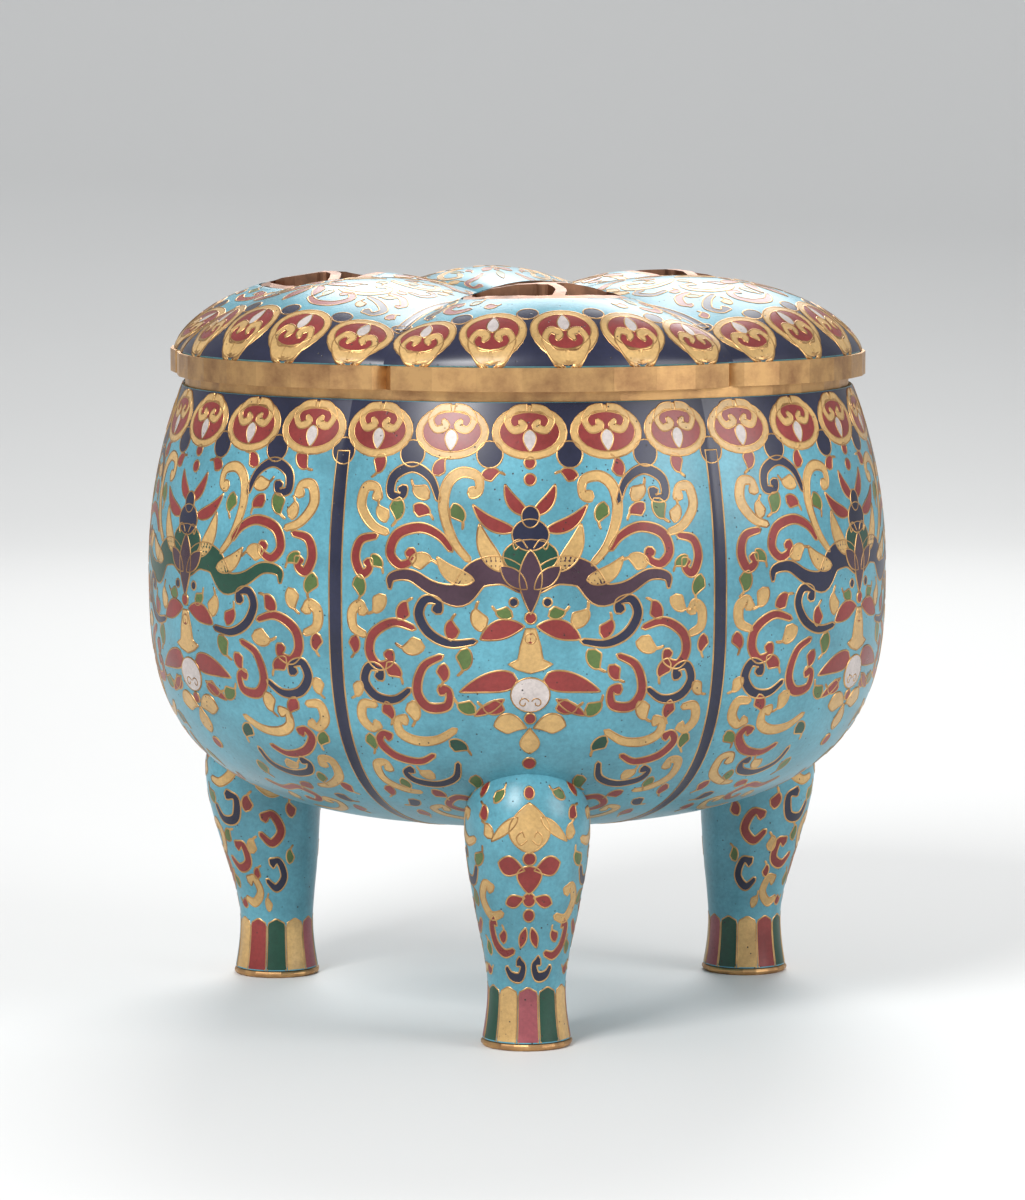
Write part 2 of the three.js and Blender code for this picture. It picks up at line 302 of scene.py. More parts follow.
class Drawing:
    """Coloured cells and their gilt wires, drawn in millimetres on a surface's own two directions.
    facing is 1 or -1, whichever makes the surface's normal point outwards."""

    def __init__(self, surface, per_radian, facing=-1):
        self.surface = surface
        self.per_radian = per_radian
        self.facing = facing
        self.spacing = 2.0
        self.points = []
        self.faces = []
        self.slots = []
        self.layer = 0

    def place(self, uv, lift):
        """The drawing's points in space, lifted off the surface along its normal."""
        a = uv[:, 0] / self.per_radian
        b = uv[:, 1]
        turn = PROBE / self.per_radian
        da = self.surface(a + turn, b) - self.surface(a - turn, b)
        db = self.surface(a, b + PROBE) - self.surface(a, b - PROBE)
        normal = np.cross(da, db)
        normal /= np.maximum(np.linalg.norm(normal, axis=1, keepdims=True), 1e-12)
        return self.surface(a, b) + self.facing * normal * lift

    def strip(self, rows, slot):
        """Rows of points side by side, joined into quads."""
        start = sum(len(p) for p in self.points)
        n = len(rows[0])
        self.points += rows
        for k in range(len(rows) - 1):
            for i in range(n - 1):
                a = start + k * n + i
                self.faces.append((a, a + 1, a + n + 1, a + n))
                self.slots.append(PALETTE.index(slot))

    def wire(self, uv):
        """A low gilt ridge along a line."""
        across = sideways(uv) * (WIRE_WIDTH / 2)
        top = WIRE_LIFT + self.layer * LAYER_LIFT
        foot = FILL_LIFT / 3
        rows = [
            self.place(uv + across, foot),
            self.place(uv + across * 0.5, top),
            self.place(uv - across * 0.5, top),
            self.place(uv - across, foot),
        ]
        self.strip(rows, "wire")

    def stroke(self, uv, widths, colour, wired=True):
        """A cell of changing width along a line, with a wire round it."""
        uv = np.asarray(uv, float)
        widths = np.asarray(widths, float)
        across = sideways(uv) * widths[:, None] / 2
        lift = FILL_LIFT + self.layer * LAYER_LIFT
        columns = 2 * max(1, math.ceil(widths.max() / self.spacing)) + 1
        self.strip([self.place(uv + across * f, lift) for f in np.linspace(-1, 1, columns)], colour)
        if wired:
            loop = np.concatenate([uv + across, (uv - across)[::-1], (uv + across)[:1]])
            gaps = np.linalg.norm(np.diff(loop, axis=0), axis=1)
            self.wire(loop[np.concatenate([[True], gaps > 1e-3])])

    def scroll(self, points, colour):
        """A stem through the given points that swells and ends in a round bud."""
        uv = curve(points)
        t = np.linspace(0, 1, len(uv))
        swell = 0.45 * np.sin(math.pi * np.clip(t * 1.1, 0, 1))
        bud = 0.55 * np.exp(-(((t - 0.94) / 0.07) ** 2))
        self.stroke(uv, STEM_WIDTH * (0.55 + swell + bud) * round_ends(t, 0.03), colour)

    def leaf(self, u, v, heading, length, colour, hook):
        """A comma: a fat round head and a bent tail."""
        t = np.linspace(0, 1, 15)
        turn = math.radians(heading) + hook * (t - 0.5) * 2
        length = LEAF_GROWTH * length
        steps = np.stack([np.cos(turn), np.sin(turn)], axis=1) * length / 14
        uv = np.cumsum(steps, axis=0)
        uv += np.array([u, v]) - uv[7]
        head = np.sqrt(np.clip(1 - (2 * t - 0.62) ** 2 / 0.62, 0.02, 1))
        width = 0.62 * length * head * (1 - 0.55 * t)
        self.stroke(uv, width * round_ends(t, 0.09), colour)

    def petal(self, start, end, width, colour, fat=0.45, bend=0.0):
        """A pointed cell from start to end, widest at fat of its length."""
        t = np.linspace(0, 1, 17)
        a = np.array(start, float)
        b = np.array(end, float)
        side = np.array([-(b - a)[1], (b - a)[0]])
        uv = a + (b - a) * t[:, None] + side * (bend * np.sin(math.pi * t))[:, None]
        shape = np.sin(math.pi * t ** (math.log(0.5) / math.log(fat))) ** 0.8
        self.stroke(uv, np.maximum(width * shape, POINT_WIDTH), colour)

    def disc(self, u, v, radius, colour, tall=1.0):
        """A round cell, or an oval one that is tall times as high as wide."""
        t = np.linspace(0, 1, 13)
        x = np.cos(math.pi * t)
        uv = np.stack([u + 0 * x, v - tall * radius * x], axis=1)
        width = 2 * radius * np.sqrt(np.clip(1 - x * x, 0, 1))
        self.stroke(uv, np.maximum(width, POINT_WIDTH), colour)

    def join(self, other):
        """Takes in what another drawing holds."""
        start = sum(len(p) for p in self.points)
        self.points += other.points
        self.faces += [tuple(start + i for i in f) for f in other.faces]
        self.slots += other.slots

    def piece(self, name, body):
        mesh = bpy.data.meshes.new(name)
        mesh.from_pydata((np.concatenate(self.points) * MM).tolist(), [], self.faces)
        for colour in PALETTE[:-1]:
            mesh.materials.append(ENAMELS[colour])
        mesh.materials.append(WIRE)
        mesh.polygons.foreach_set("material_index", self.slots)
        mesh.polygons.foreach_set("use_smooth", [True] * len(mesh.polygons))
        made = bpy.data.objects.new(name, mesh)
        bpy.context.scene.collection.objects.link(made)
        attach(made, body)


def curve(points, per_span=7):
    """A smooth line through the points."""
    p = np.array(points, float)
    p = np.concatenate([[2 * p[0] - p[1]], p, [2 * p[-1] - p[-2]]])
    t = np.linspace(0, 1, per_span, endpoint=False)[:, None]
    spans = []
    for before, here, there, after in zip(p, p[1:], p[2:], p[3:]):
        pull = (there - before) * t
        square = (2 * before - 5 * here + 4 * there - after) * t**2
        cube = (3 * here - before - 3 * there + after) * t**3
        spans.append(0.5 * (2 * here + pull + square + cube))
    return np.concatenate([*spans, p[-2:-1]])


def round_ends(t, share):
    """1 along a line, and a half circle down to nearly 0 over that share of it at each end."""
    from_end = np.clip(1 - np.minimum(t, 1 - t) / share, 0, 1)
    return np.sqrt(np.clip(1 - from_end**2, 0.0004, 1))


# One half of a bowl panel, drawn once and mirrored: millimetres from the panel's middle line, and down
# the surface from the mouth. Each scroll is its colour and the points that its stem runs through.
PANEL_SCROLLS = [
    ("navy", [(15.4, 17.4), (17.2, 13.4), (20.6, 11.6), (24.0, 13.2),
              (24.4, 16.2), (22.2, 16.4), (22.4, 14.6)]),
    ("yellow", [(10.1, 27.3), (13.1, 23.7), (14.9, 18.6), (14.4, 14.4),
                (12.1, 12.4), (9.2, 13.0), (8.9, 15.4), (10.8, 15.8)]),
    ("red", [(13.1, 25.4), (15.4, 22.8), (18.9, 21.5), (22.9, 22.7),
             (24.2, 25.8), (22.4, 27.8), (20.2, 26.8), (20.9, 25.0)]),
    ("yellow", [(24.2, 22.5), (27.4, 21.3), (29.8, 18.2), (29.2, 15.0), (27.0, 15.0), (26.8, 17.2)]),
    ("red", [(26.2, 23.0), (29.6, 23.9), (30.6, 26.8), (29.4, 29.4), (27.8, 28.6), (28.3, 26.9)]),
    ("navy", [(8.5, 40.4), (13.1, 40.9), (16.8, 39.2), (18.6, 36.1),
              (17.5, 33.7), (15.2, 34.0), (15.6, 36.0)]),
    ("red", [(19.3, 38.1), (23.5, 37.1), (27.3, 39.2), (28.1, 42.3),
             (26.5, 44.5), (24.2, 43.7), (24.7, 41.8)]),
    ("yellow", [(28.4, 40.0), (31.0, 38.7), (31.2, 36.0), (29.5, 34.8), (28.9, 36.6)]),
    ("red", [(14.7, 42.3), (18.3, 44.3), (19.6, 48.5), (17.8, 51.3),
             (14.4, 51.0), (14.0, 48.4), (16.0, 48.3)]),
    ("navy", [(20.6, 48.5), (23.8, 50.6), (27.4, 50.2), (29.4, 47.6),
              (28.4, 45.1), (26.2, 45.6), (26.8, 47.4)]),
    ("yellow", [(27.6, 52.0), (30.4, 52.0), (31.0, 54.6), (29.2, 56.4), (27.6, 55.2)]),
    ("yellow", [(13.0, 55.6), (16.8, 57.9), (20.8, 58.2), (23.6, 56.8), (23.8, 54.4), (21.8, 54.3)]),
    ("red", [(17.0, 61.0), (20.4, 62.8), (25.0, 61.8), (27.6, 59.0), (26.6, 57.2), (25.0, 58.2)]),
    ("navy", [(13.0, 62.0), (14.0, 66.0), (18.0, 68.0), (22.6, 67.2), (24.0, 65.0), (22.0, 64.2)]),
    ("yellow", [(22.0, 71.0), (25.6, 70.4), (29.4, 67.6), (29.8, 63.8), (27.6, 63.2), (27.4, 65.4)]),
    ("red", [(6.0, 71.0), (9.6, 73.4), (15.0, 72.4), (17.6, 75.6), (14.6, 78.0), (12.6, 76.4)]),
    ("yellow", [(8.0, 82.0), (13.4, 84.0), (19.6, 81.6), (22.0, 78.0), (19.4, 76.6), (18.6, 79.0)]),
]
# Each leaf: where its middle is, its heading in degrees, its length and its colour.
PANEL_LEAVES = [
    (26.4, 18.8, 250, 3.4, "yellow"), (23.0, 19.2, 100, 4.2, "green"), (19.6, 15.2, 200, 3.8, "yellow"),
    (18.0, 18.6, 20, 3.6, "red"), (11.8, 19.4, 60, 3.8, "green"), (6.2, 12.0, 340, 3.4, "red"),
    (15.6, 10.6, 300, 3.6, "red"), (27.2, 11.6, 110, 3.8, "red"), (17.8, 26.6, 340, 4.2, "yellow"),
    (26.2, 27.6, 30, 3.2, "green"), (21.6, 34.6, 300, 3.8, "red"), (26.6, 35.0, 120, 4.0, "yellow"),
    (29.8, 32.2, 80, 4.0, "green"), (13.4, 37.6, 250, 3.8, "red"), (9.0, 35.8, 240, 4.2, "yellow"),
    (5.0, 35.4, 200, 3.2, "green"), (20.8, 41.6, 150, 4.4, "yellow"), (11.0, 44.0, 110, 4.2, "green"),
    (23.0, 45.8, 40, 3.8, "red"), (31.0, 42.0, 80, 3.4, "red"), (14.6, 46.2, 100, 3.4, "red"),
    (11.6, 51.4, 200, 3.8, "green"), (20.2, 53.2, 100, 4.0, "yellow"), (24.8, 53.2, 60, 3.6, "red"),
    (7.0, 51.6, 170, 4.0, "red"), (31.0, 49.6, 110, 3.2, "yellow"), (29.4, 59.4, 60, 3.6, "green"),
    (12.0, 59.0, 30, 4.0, "dark_green"), (20.4, 65.4, 200, 3.6, "yellow"), (24.8, 69.0, 60, 3.4, "green"),
    (10.0, 68.0, 80, 4.0, "green"), (29.8, 71.8, 100, 3.8, "red"), (18.0, 71.6, 20, 3.8, "red"),
    (26.4, 76.0, 120, 4.4, "navy"), (8.0, 77.6, 40, 4.0, "yellow"), (25.4, 81.4, 60, 4.4, "red"),
]
# The colour of the lotus's wings, from panel to panel
WINGS = ["purple", "navy", "dark_green"]


def draw_lotus(pen, wings):
    """The lotus on a panel's middle line, from its plume down to the leaves over the leg."""
    pen.layer = 1
    pen.disc(0, 10.4, 1.0, "red")
    pen.disc(0, 13.2, 1.0, "red")
    for side in (-1, 1):
        pen.petal((0.4 * side, 19.0), (4.3 * side, 14.0), 2.1, "red", 0.4, 0.12 * side)
        pen.petal((2.6 * side, 21.6), (9.8 * side, 17.4), 2.2, "red", 0.4, 0.13 * side)
        pen.petal((4.4 * side, 28.4), (8.6 * side, 20.6), 2.8, "yellow", 0.4, 0.10 * side)
        pen.petal((9.4 * side, 30.0), (15.8 * side, 26.2), 2.6, "yellow", 0.4, 0.14 * side)
        wing = curve([(0.8 * side, 30.4), (4.6 * side, 28.4), (8.8 * side, 29.0), (12.0 * side, 32.4),
                      (16.5 * side, 31.4), (20.4 * side, 29.4), (23.8 * side, 29.8), (24.2 * side, 31.8)])
        t = np.linspace(0, 1, len(wing))
        width = np.interp(t, [0, 0.2, 0.42, 0.55, 0.9, 1], [3.8, 4.8, 4.2, 2.4, 1.4, 0.5])
        pen.stroke(wing, width, wings)
        pen.petal((1.0 * side, 37.6), (8.4 * side, 39.8), 3.2, "red", 0.5, -0.08 * side)
        pen.petal((2.2 * side, 46.6), (12.0 * side, 48.8), 3.6, "red", 0.3, -0.05 * side)
        pen.petal((4.4 * side, 50.0), (9.6 * side, 53.0), 1.7, "red", 0.5)
        pen.disc(2.8 * side, 33.6, 0.75, "navy")
    pen.layer = 3
    pen.disc(0, 26.0, 4.6, "dark_green", 0.62)
    pen.layer = 5
    pen.disc(0, 22.4, 3.1, "navy", 0.85)
    pen.disc(0, 19.4, 1.5, "navy", 1.2)
    pen.layer = 7
    for side in (-1, 1):
        pen.petal((0.6 * side, 31.4), (5.0 * side, 27.6), 2.7, "purple", 0.5)
        curl = [(0.5, 24.6), (1.6, 23.2), (2.9, 23.6), (2.6, 24.8), (1.9, 24.3)]
        pen.wire(curve([(x * side, y) for x, y in curl]))
    pen.petal((0, 35.6), (0, 24.8), 3.8, "purple", 0.55)
    pen.layer = 9
    pen.disc(0, 36.2, 0.95, "red")
    bell = curve([(0, 38.0), (0, 40.0), (0, 42.0), (0, 43.2), (0, 44.2), (0, 45.4)], 4)
    t = np.linspace(0, 1, len(bell))
    flare = np.interp(t, [0, 0.3, 0.6, 0.75, 0.9, 1], [1.6, 3.4, 4.2, 7.4, 4.6, 0.2])
    pen.stroke(bell, flare, "yellow")
    pen.disc(0, 39.6, 0.9, "red")
    pen.disc(0, 49.2, 3.3, "white", 0.9)
    for side in (-1, 1):
        t = np.linspace(0.3, 2.1 * math.pi, 18)
        reach = 1.0 - 0.75 * t / t[-1]
        spiral = [side * (1.15 - reach * np.cos(t)), 50.6 - reach * np.sin(t)]
        pen.wire(np.stack(spiral, axis=1))
        pen.petal((0.6 * side, 55.2), (6.2 * side, 54.8), 3.6, "yellow", 0.6, -0.12 * side)
    pen.disc(0, 53.4, 0.95, "red")
    pen.petal((0, 55.2), (0, 60.2), 3.4, "yellow", 0.6)
    pen.disc(0, 62.4, 1.2, "red")
    pen.layer = 0


def draw_vines(pen, scrolls, leaves, wobble):
    """Both halves of a panel's scrolls and leaves, each a little out of true, as drawn by hand."""
    for side in (-1, 1):
        for colour, points in scrolls:
            shift = np.array([wobble.uniform(-0.35, 0.35), wobble.uniform(-0.35, 0.35)])
            pen.scroll(np.array(points) * [side, 1] + shift, colour)
        for u, v, heading, length, colour in leaves:
            turned = heading if side < 0 else 180 - heading
            pen.leaf(side * u, v, turned + wobble.uniform(-20, 20), length, colour, -0.9 * side)


# One curl of a cloud head, in half widths and half heights from its middle
CURL = [(0.06, -0.92), (0.40, -0.84), (0.60, -0.46), (0.44, -0.08), (0.18, -0.20), (0.26, -0.46)]
BORDER_HEADS = 5
HEAD_GAP = 0.7


def draw_ruyi(pen, u, low, high, width):
    """One cloud head: a yellow hoop round a red field, two curls in from its low side, and a white bud."""
    middle = (low + high) / 2
    half = width / 2
    tall = (high - low) / 2
    pen.layer += 2
    pen.disc(u, middle, half, "yellow", tall / half)
    pen.layer += 2
    inner = half - 1.25
    pen.disc(u, middle, inner, "red", (tall - 1.15) / inner)
    pen.layer += 2
    for side in (-1, 1):
        line = curve([(u + side * x * half, middle + y * tall) for x, y in CURL], 5)
        t = np.linspace(0, 1, len(line))
        pen.stroke(line, np.interp(t, [0, 0.5, 0.85, 1], [1.3, 1.0, 1.5, 0.5]), "yellow")
    pen.petal((u, middle - 0.1 * tall), (u, middle + 0.72 * tall), 2.3, "white", 0.4)
    pen.layer -= 6


def band_along(u, v, width, pen, wired=True):
    """A navy band through the points of u and v."""
    line = np.stack(np.broadcast_arrays(u, v), axis=1).astype(float)
    pen.stroke(line, np.broadcast_to(width, len(line)), "navy", wired)


def draw_bowl():
    """The bowl's six panels, the bands in the grooves between them, and the border of cloud heads."""
    wobble = random.Random(7)
    pen = Drawing(on_bowl, BELLY_RADIUS)
    panel = 2 * HALF_LOBE * BELLY_RADIUS
    band_ends = (9.0, BOWL_LINE[0][-1] - 12)
    for lobe in range(LOBES):
        centre = lobe * panel
        part = Drawing(lambda a, b, c=centre: on_bowl(a + c / BELLY_RADIUS, b), BELLY_RADIUS)
        draw_vines(part, PANEL_SCROLLS, PANEL_LEAVES, wobble)
        draw_lotus(part, WINGS[lobe % len(WINGS)])
        pen.join(part)
        pen.layer = 3
        band_along(centre + panel / 2, np.linspace(*band_ends, 60), 2.5, pen)
        for k in range(BORDER_HEADS):
            u = centre + panel * ((k + 0.5) / BORDER_HEADS - 0.5)
            pen.layer = 1
            pen.disc(u + panel / BORDER_HEADS / 2, 9.0, 2.3, "navy")
            draw_ruyi(pen, u, 0.6, 9.8, panel / BORDER_HEADS - HEAD_GAP)
        pen.layer = 0
        band_along(centre + np.linspace(-0.5, 0.5, 30) * panel, 4.2, 8.2, pen, wired=False)
    return pen


def draw_lid():
    """The dome's six lobes, the bands in the grooves between them, and the border of cloud heads."""
    wobble = random.Random(11)
    pen = Drawing(on_dome, DOME_RADIUS, facing=1)
    panel = 2 * HALF_LOBE * DOME_RADIUS
    for lobe in range(LOBES):
        centre = lobe * 2 * HALF_LOBE
        part = Drawing(lambda a, b, c=centre: on_dome(a + c, b), DOME_RADIUS, facing=1)
        if lobe % 2:
            draw_solid_lobe(part, wobble)
        else:
            draw_pierced_lobe(part, wobble)
        part.layer = 3
        band_along(panel / 2, np.linspace(8.0, DOME_RADIUS - 1.5, 40), np.linspace(2.4, 5.0, 40), part)
        # The dome's edge is tight, so its border is drawn in finer columns.
        part.spacing = 0.8
        for k in range(BORDER_HEADS):
            u = panel * ((k + 0.5) / BORDER_HEADS - 0.5)
            part.layer = 1
            part.disc(u + panel / BORDER_HEADS / 2, 8.4, 2.1, "navy", 0.7)
            draw_ruyi(part, u, 0.2, 9.0, panel / BORDER_HEADS - HEAD_GAP)
        part.layer = 0
        part.spacing = 0.3
        band_along(np.linspace(-0.5, 0.5, 40) * panel, 3.5, 6.94, part, wired=False)
        pen.join(part)
    return pen


SOLID_SCROLLS = [
    ("red", [(5.5, 13.0), (9.5, 11.4), (13.8, 12.0), (15.6, 14.6), (13.6, 16.8), (11.4, 15.8)]),
    ("yellow", [(8.0, 18.6), (12.2, 17.8), (16.6, 19.0), (18.4, 22.2), (16.6, 24.8), (13.6, 23.6)]),
    ("navy", [(18.2, 17.6), (22.2, 16.4), (25.4, 13.8), (24.4, 11.4), (21.8, 12.2)]),
    ("red", [(20.0, 22.0), (24.2, 21.8), (27.0, 18.8), (26.2, 16.8)]),
    ("yellow", [(10.0, 30.0), (15.0, 29.6), (20.0, 31.0), (22.0, 35.0), (18.0, 37.6), (15.4, 35.0)]),
    ("navy", [(21.5, 26.4), (25.4, 27.4), (25.6, 31.4), (22.6, 31.8)]),
    ("red", [(8.0, 40.0), (14.0, 42.0), (21.0, 42.4), (22.6, 46.0), (17.0, 46.8)]),
]
SOLID_LEAVES = [
    (8.6, 15.0, 250, 3.4, "green"), (18.8, 14.4, 30, 3.2, "yellow"), (28.0, 12.6, 80, 3.0, "red"),
    (21.4, 19.4, 330, 3.2, "green"), (9.2, 22.2, 100, 3.8, "red"), (20.6, 24.6, 20, 3.2, "red"),
    (12.0, 26.8, 200, 3.6, "green"), (14.4, 33.0, 20, 3.8, "green"), (25.0, 36.0, 100, 4.2, "yellow"),
    (11.0, 35.6, 100, 3.8, "red"), (22.0, 39.0, 40, 4.4, "yellow"),
]


def draw_solid_lobe(pen, wobble):
    """A lobe with no opening: a small lotus between scrolls."""
    draw_vines(pen, SOLID_SCROLLS, SOLID_LEAVES, wobble)
    pen.layer = 2
    for side in (-1, 1):
        pen.petal((1.0 * side, 18.0), (6.4 * side, 13.4), 2.4, "red", 0.5, 0.12 * side)
        pen.petal((1.6 * side, 19.6), (8.2 * side, 20.2), 2.4, "red", 0.5, 0.1 * side)
        pen.petal((1.2 * side, 24.6), (6.8 * side, 30.4), 2.6, "yellow", 0.5, 0.1 * side)
        pen.petal((1.0 * side, 34.0), (7.0 * side, 38.0), 3.4, "red", 0.5)
    pen.petal((0, 17.4), (0, 11.0), 2.8, "red", 0.5)
    pen.disc(0, 19.2, 1.9, "dark_green")
    pen.disc(0, 22.6, 1.2, "red")
    pen.petal((0, 24.2), (0, 31.6), 3.6, "yellow", 0.5)
    pen.disc(0, 33.6, 1.3, "white")
    pen.disc(0, 37.0, 1.2, "red")
    pen.petal((0, 39.0), (0, 46.0), 4.6, "green", 0.5)
    pen.layer = 0


PIERCED_SCROLLS = [
    ("red", [(18.0, 12.0), (21.8, 11.6), (24.0, 13.6), (22.4, 15.6), (20.6, 14.6)]),
    ("navy", [(25.2, 17.2), (26.8, 14.4), (28.4, 12.2), (26.8, 10.9)]),
    ("yellow", [(24.2, 21.6), (26.8, 22.6), (26.6, 26.4), (24.6, 27.8)]),
    ("red", [(25.0, 30.0), (25.4, 33.6), (22.6, 36.0), (21.4, 33.8)]),
    ("yellow", [(4.0, 42.4), (9.0, 41.4), (15.0, 40.6), (19.0, 42.0), (17.0, 45.4), (13.0, 44.4)]),
]
PIERCED_LEAVES = [
    (17.0, 14.6, 30, 3.0, "green"), (24.0, 18.2, 60, 3.2, "yellow"), (13.4, 11.8, 10, 3.0, "red"),
    (28.0, 18.6, 90, 2.8, "red"), (27.6, 30.6, 90, 3.0, "green"), (22.0, 40.0, 40, 3.6, "green"),
    (9.0, 45.8, 20, 4.2, "red"),
]


def draw_pierced_lobe(pen, wobble):
    """A lobe whose crest is open: scrolls at its sides and a red flower at its inner end."""
    draw_vines(pen, PIERCED_SCROLLS, PIERCED_LEAVES, wobble)
    pen.layer = 2
    for side in (-1, 1):
        pen.petal((1.0 * side, 42.0), (9.0 * side, 39.8), 3.2, "red", 0.5)
        pen.petal((0.6 * side, 43.4), (8.0 * side, 47.4), 4.0, "red", 0.5)
    pen.petal((0, 42.0), (0, 50.0), 6.0, "yellow", 0.5)
    pen.layer = 0


LEG_SCROLLS = [
    ("navy", [(6.0, 14.2), (4.6, 12.6), (2.2, 12.4), (1.4, 14.4), (3.0, 15.4)]),
    ("red", [(3.4, 17.0), (6.2, 16.4), (8.4, 18.2), (8.8, 21.4), (7.4, 22.2)]),
    ("yellow", [(5.4, 23.6), (8.6, 23.0), (10.4, 26.0), (9.0, 28.6), (7.4, 27.4)]),
    ("red", [(11.6, 22.4), (14.0, 20.4), (16.8, 21.6), (16.4, 24.8), (14.2, 24.4)]),
    ("navy", [(11.0, 31.8), (12.8, 29.0), (16.0, 29.4), (16.8, 33.0), (14.2, 33.8)]),
    ("yellow", [(13.4, 14.4), (16.4, 13.6), (18.6, 15.6), (17.4, 18.2), (15.4, 17.4)]),
    ("yellow", [(10.4, 36.6), (13.4, 36.0), (16.2, 38.0), (15.2, 40.8), (12.8, 40.2)]),
    ("red", [(20.2, 27.0), (22.6, 25.0), (24.8, 27.2), (23.2, 30.4), (21.0, 29.4)]),
    ("navy", [(20.4, 18.2), (22.8, 16.6), (25.0, 18.6), (24.0, 21.6), (21.8, 21.0)]),
    ("yellow", [(20.6, 36.4), (23.6, 34.6), (26.0, 36.6), (24.6, 39.8), (22.0, 39.2)]),
]
LEG_LEAVES = [
    (10.6, 18.0, 80, 3.0, "green"), (12.8, 26.6, 110, 3.2, "green"), (5.6, 20.2, 60, 2.8, "red"),
    (11.6, 13.4, 20, 2.8, "red"), (18.4, 25.0, 90, 3.2, "yellow"), (9.4, 33.6, 60, 3.4, "green"),
    (18.8, 33.0, 90, 3.4, "red"), (7.6, 38.6, 100, 3.0, "yellow"), (18.8, 40.6, 60, 3.2, "green"),
    (20.0, 14.0, 60, 2.8, "yellow"), (26.6, 23.0, 80, 3.0, "green"), (27.0, 31.6, 90, 3.2, "red"),
    (18.4, 19.8, 100, 2.6, "red"), (5.6, 44.4, 30, 3.0, "green"), (10.2, 45.4, 80, 3.0, "red"),
    (15.0, 44.6, 60, 3.0, "green"), (8.8, 41.6, 120, 3.0, "red"), (20.6, 44.8, 90, 3.0, "yellow"),
]
# The upright lappets round a foot
LAPPETS = 12
LAPPET_HEIGHT = 9.2
LAPPET_FILL = 0.93
FOOT_COLOURS = ["pink", "dark_green", "yellow", "red", "dark_green", "yellow"]


def draw_leg(turn, wobble):
    """A leg's knee flower with scrolls at its sides, and the lappets round its foot."""
    pen = Drawing(on_leg(turn), KNEE_RADIUS, facing=1)
    draw_vines(pen, LEG_SCROLLS, LEG_LEAVES, wobble)
    pen.layer = 2
    pen.petal((0, 34.6), (0, 43.0), 7.0, "yellow", 0.45)
    for side in (-1, 1):
        pen.petal((2.0 * side, 40.6), (6.8 * side, 36.4), 1.7, "yellow", 0.4)
        pen.petal((0.8 * side, 31.6), (5.6 * side, 32.8), 3.4, "red", 0.6)
        pen.petal((0.8 * side, 26.8), (4.6 * side, 25.6), 2.2, "red", 0.6)
        pen.petal((0.6 * side, 21.4), (1.9 * side, 17.8), 1.7, "red", 0.5)
        curl = [(0.4, 36.8), (1.5, 36.0), (2.2, 37.2), (1.3, 38.2), (0.8, 37.3)]
        pen.wire(curve([(x * side, y) for x, y in curl]))
    pen.petal((0, 32.4), (0, 27.4), 4.4, "red", 0.35)
    for height, radius in [(44.6, 1.0), (33.6, 1.1), (26.4, 1.2), (23.6, 1.1)]:
        pen.disc(0, height, radius, "red")
    pen.layer = 0
    step = 2 * math.pi * pen.per_radian / LAPPETS
    t = np.linspace(0, 1, 14)
    width = step * LAPPET_FILL * np.sqrt(np.clip(1 - np.clip((t - 0.86) / 0.14, 0, 1) ** 2, 0.02, 1))
    for k in range(LAPPETS):
        line = np.stack([np.full(14, k * step), SOLE_TOP + 0.2 + LAPPET_HEIGHT * t], axis=1)
        pen.stroke(line, width, FOOT_COLOURS[k % len(FOOT_COLOURS)])
    return pen


def grid_mesh(name, rows, materials, split=None):
    """A surface from rings of points. The rings from number split on take the second material."""
    n = len(rows[0])
    mesh = bpy.data.meshes.new(name)
    faces = []
    slots = []
    for k in range(len(rows) - 1):
        for i in range(n):
            after = (i + 1) % n
            faces.append((k * n + i, k * n + after, (k + 1) * n + after, (k + 1) * n + i))
            slots.append(0 if split is None or k < split else 1)
    mesh.from_pydata((np.concatenate(rows) * MM).tolist(), [], faces)
    for material in materials:
        mesh.materials.append(material)
    mesh.polygons.foreach_set("material_index", slots)
    mesh.polygons.foreach_set("use_smooth", [True] * len(mesh.polygons))
    # The points at a pole are welded, and the faces turned outwards.
    work = bmesh.new()
    work.from_mesh(mesh)
    bmesh.ops.remove_doubles(work, verts=work.verts, dist=1e-6)
    bmesh.ops.recalc_face_normals(work, faces=work.faces)
    work.to_mesh(mesh)
    work.free()
    made = bpy.data.objects.new(name, mesh)
    bpy.context.scene.collection.objects.link(made)
    return made


AROUND = np.linspace(-math.pi, math.pi, LOBES * 48, endpoint=False)
ROUND_LEG = np.linspace(-math.pi, math.pi, 72, endpoint=False)


def make_bowl():
    outer = bowl_profile(0, 100)
    inner = bowl_profile(WALL, 60)
    rows = [on_bowl(AROUND, s, outer) for s in outer[0]][::-1]
    split = len(rows) - 1
    rows += [on_bowl(AROUND, s, inner) for s in inner[0]]
    made = grid_mesh("bowl_enamel", rows, [ENAMELS["turquoise"], INSIDE], split)
    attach(made, "burner")
    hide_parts("bowl")


def opening_cutters():
    """An upright oval post through each of the dome's three openings."""
    made = []
    for k in range(3):
        bpy.ops.mesh.primitive_cylinder_add(vertices=96, radius=1, depth=60 * MM, location=(0, 0, 0))
        cutter = bpy.context.object
        wide = (OPENING_WIDE + OPENING_GAP) * MM
        deep = (OPENING_DEEP + OPENING_GAP) * MM
        turned = Matrix.Rotation(LID_TURN + k * 2 * math.pi / 3, 4, "Z")
        moved = Matrix.Translation((0, -OPENING_CIRCLE * MM, RIM_TOP * MM))
        cutter.matrix_world = turned @ moved @ Matrix.Diagonal((wide, deep, 1, 1))
        made.append(cutter)
    return made


